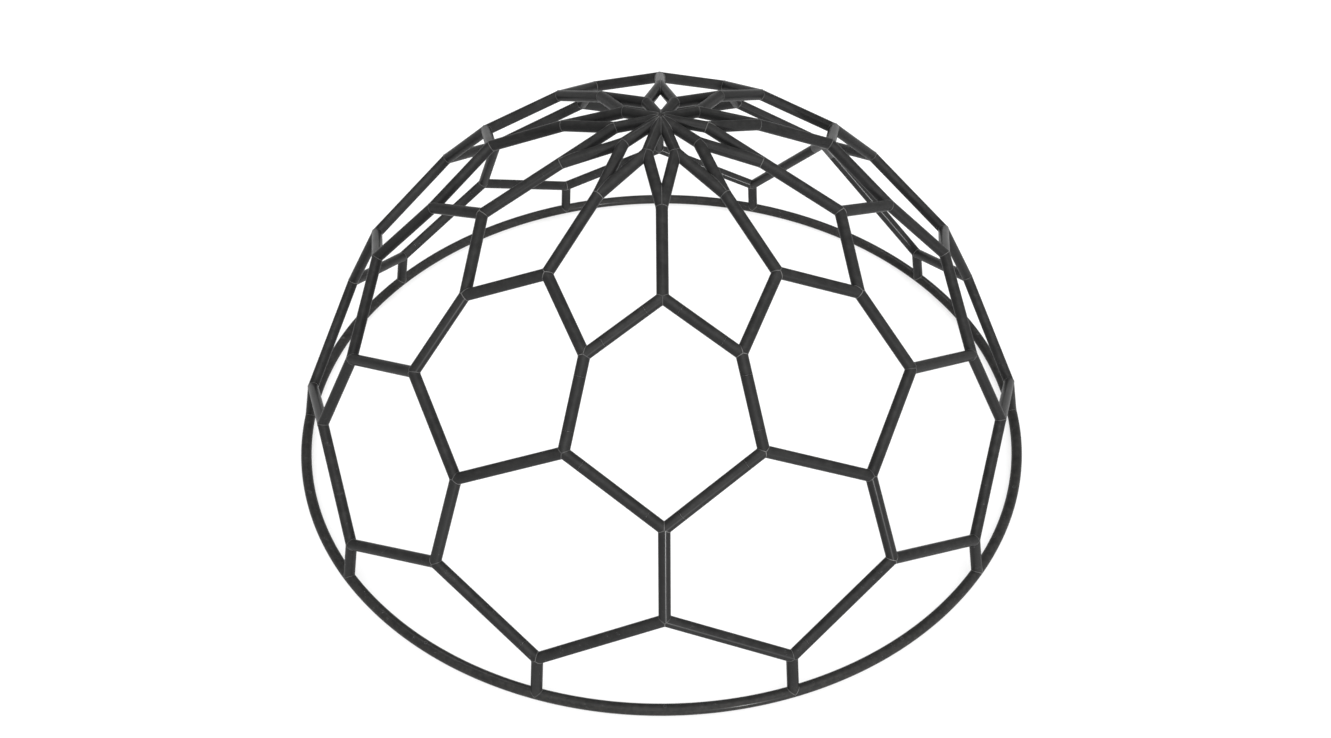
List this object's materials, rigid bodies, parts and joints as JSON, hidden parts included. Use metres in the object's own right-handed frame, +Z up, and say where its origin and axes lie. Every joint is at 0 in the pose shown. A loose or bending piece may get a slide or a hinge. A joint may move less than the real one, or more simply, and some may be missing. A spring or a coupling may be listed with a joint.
{
  "type": "dome climber",
  "caption": "Open climbing dome of dark round steel tubes: a ground ring, posts, zigzag and upright struts in hexagonal cells, and rays that meet in a star at the crown. One bay is a tall doorway.",
  "frame": {"origin": "middle of the base ring, on the ground", "axes": "+Z up through the crown joint; -Y is the front, where the middle of a bay lies; +X to the right; the doorway is at the back right, 144 degrees round from the front"},
  "size_m": [17.2444, 17.244, 8.7472],
  "materials": {
    "painted_tube": "satin charcoal powder coat over galvanised steel",
    "painted_hub": "satin charcoal powder coat over galvanised steel",
    "sleeve": "galvanised",
    "screw": "black zinc plated, touched up to match the tubes",
    "cap": "matt"
  },
  "bodies": {
    "root": {"foot_tee_01": "painted_tube", "foot_tee_02": "painted_tube", "foot_tee_03": "painted_tube", "foot_tee_04": "painted_tube", "foot_tee_05": "painted_tube", "foot_tee_06": "painted_tube", "foot_tee_07": "painted_tube", "foot_tee_08": "painted_tube", "foot_tee_09": "painted_tube", "foot_tee_10": "painted_tube", "ring_tube_01": "painted_tube", "ring_tube_02": "painted_tube", "ring_tube_03": "painted_tube", "ring_tube_04": "painted_tube", "ring_tube_05": "painted_tube", "ring_tube_06": "painted_tube", "ring_tube_07": "painted_tube", "ring_tube_08": "painted_tube", "ring_tube_09": "painted_tube", "ring_tube_10": "painted_tube", "first_level_hubs": "painted_hub", "second_level_hubs": "painted_hub", "third_level_hubs": "painted_hub", "fourth_level_hubs": "painted_hub", "fifth_level_hubs": "painted_hub", "sixth_level_hubs": "painted_hub", "seventh_level_hubs": "painted_hub", "eighth_level_hubs": "painted_hub", "doorway_hub": "painted_hub", "crown_hub": "painted_hub", "first_zigzag_tubes": "painted_tube", "first_upright_tubes": "painted_tube", "second_zigzag_tubes": "painted_tube", "second_upright_tubes": "painted_tube", "third_zigzag_tubes": "painted_tube", "third_upright_tubes": "painted_tube", "doorway_tubes": "painted_tube", "base_ring_sleeves": "sleeve", "post_sleeves": "sleeve", "first_zigzag_sleeves": "sleeve", "first_upright_sleeves": "sleeve", "second_zigzag_sleeves": "sleeve", "second_upright_sleeves": "sleeve", "third_zigzag_sleeves": "sleeve", "third_upright_sleeves": "sleeve", "crown_zigzag_sleeves": "sleeve", "crown_ray_sleeves": "sleeve", "base_ring_screws": "screw", "post_screws": "screw", "first_zigzag_screws": "screw", "first_upright_screws": "screw", "second_zigzag_screws": "screw", "second_upright_screws": "screw", "third_zigzag_screws": "screw", "third_upright_screws": "screw", "crown_zigzag_screws": "screw", "crown_ray_screws": "screw", "anchor_bosses": "painted_hub", "anchor_caps": "cap"}
  },
  "joints": []
}
